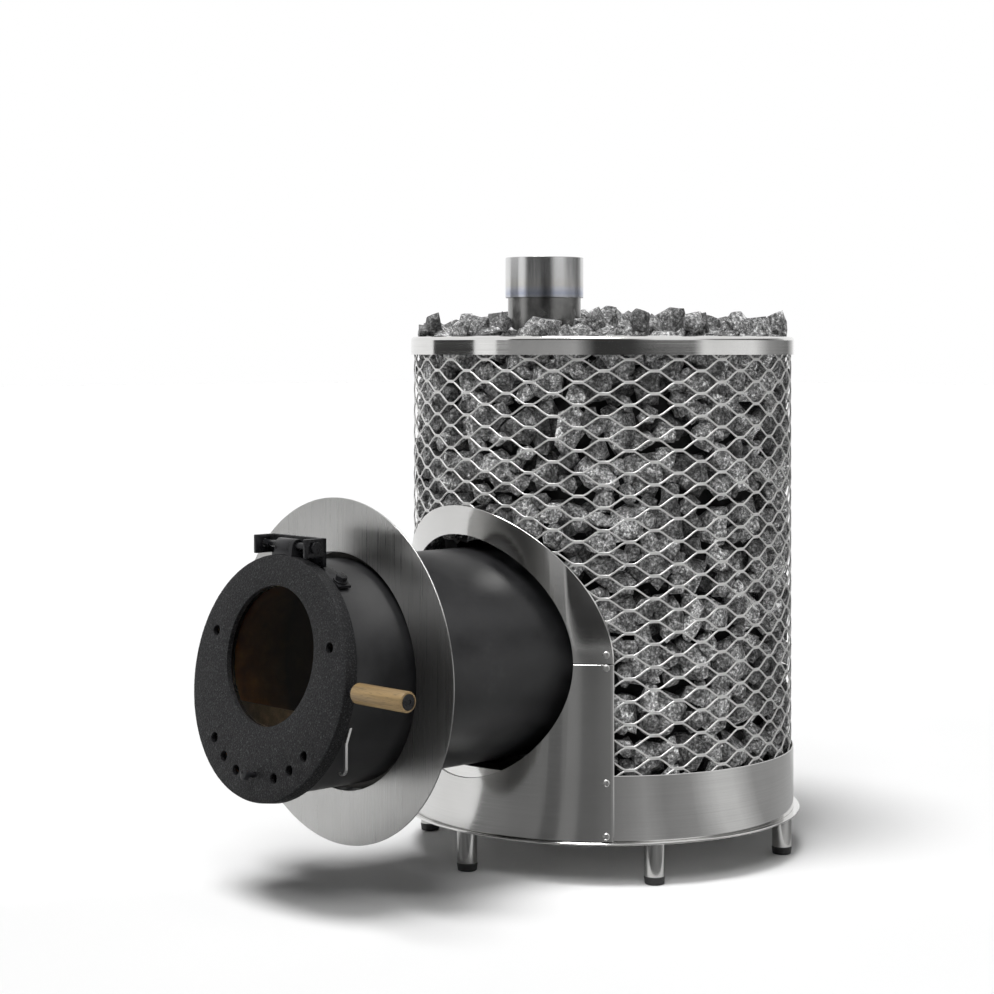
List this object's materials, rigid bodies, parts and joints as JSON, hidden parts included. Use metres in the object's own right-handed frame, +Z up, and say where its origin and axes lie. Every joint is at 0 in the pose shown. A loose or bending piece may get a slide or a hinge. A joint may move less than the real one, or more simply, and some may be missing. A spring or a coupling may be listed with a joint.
{
  "type": "through-wall wood-burning sauna heater stove",
  "caption": "Sauna stove with a stone-filled mesh cage on short legs, a fire tunnel through the wall, a top-hung glazed door, a wall flange and a flue collar.",
  "frame": {"origin": "middle of the bounding box on the floor, under the feet", "axes": "+X to the right for someone facing the fire door, +Y from the door towards the back of the stone cage, +Z up"},
  "size_m": [0.619, 1.0218, 0.917],
  "materials": {
    "stainless": "satin",
    "black_steel": "satin",
    "cast_black": "matte",
    "hinge_black": "gloss",
    "bare_steel": "satin",
    "fire_steel": "matte",
    "rope": "matte",
    "oak": "satin",
    "smoked_glass": "gloss",
    "foot_black": "matte",
    "stone": "matte"
  },
  "bodies": {
    "stove": {"base_plate": "stainless", "leg_tube_1": "stainless", "leg_tube_2": "stainless", "leg_tube_3": "stainless", "leg_tube_4": "stainless", "leg_tube_5": "stainless", "leg_tube_6": "stainless", "leg_foot_1": "foot_black", "leg_foot_2": "foot_black", "leg_foot_3": "foot_black", "leg_foot_4": "foot_black", "leg_foot_5": "foot_black", "leg_foot_6": "foot_black", "lower_band": "stainless", "top_rim": "stainless", "mesh_panel_1": "stainless", "mesh_panel_2": "stainless", "mesh_panel_3": "stainless", "mesh_panel_4": "stainless", "mesh_panel_5": "stainless", "mesh_panel_6": "stainless", "mesh_panel_7": "stainless", "shield_lower": "stainless", "shield_upper": "stainless", "stones_right": "stone", "stones_left": "stone", "stones_rear": "stone", "stones_top_front": "stone", "stones_top_back": "stone", "stones_top_right": "stone", "stones_top_left": "stone", "fire_tunnel": "black_steel", "firebox_back": "black_steel", "cradle_front": "black_steel", "cradle_rear": "black_steel", "grate": "fire_steel", "baffle_plate": "fire_steel", "log_guard": "fire_steel", "flue_pipe": "black_steel", "flue_collar": "stainless", "wall_flange": "stainless", "tunnel_seal": "rope", "hinge_saddle": "hinge_black", "saddle_bolt_right": "hinge_black", "saddle_bolt_left": "hinge_black", "hinge_bracket": "hinge_black", "hinge_pin": "hinge_black", "side_hook": "bare_steel"},
    "door": {"door_frame": "cast_black", "door_glass": "smoked_glass", "glass_retainer": "black_steel", "door_gasket": "rope", "hinge_barrel": "hinge_black", "handle_rod": "hinge_black", "handle_grip": "oak", "handle_cap": "hinge_black"},
    "air_valve": {"air_knob": "hinge_black", "air_valve_plate": "black_steel"}
  },
  "joints": [
    {"name": "door_hinge", "type": "hinge", "parent": "stove", "child": "door", "pos_m": [0, -0.41796, 0.50408], "axis": [-1, 0, 0], "range_deg": [0, 100]},
    {"name": "air_slide", "type": "slide", "parent": "door", "child": "air_valve", "axis": [0, -0.9877, 0.1564], "range_m": [0, 0.007]}
  ]
}
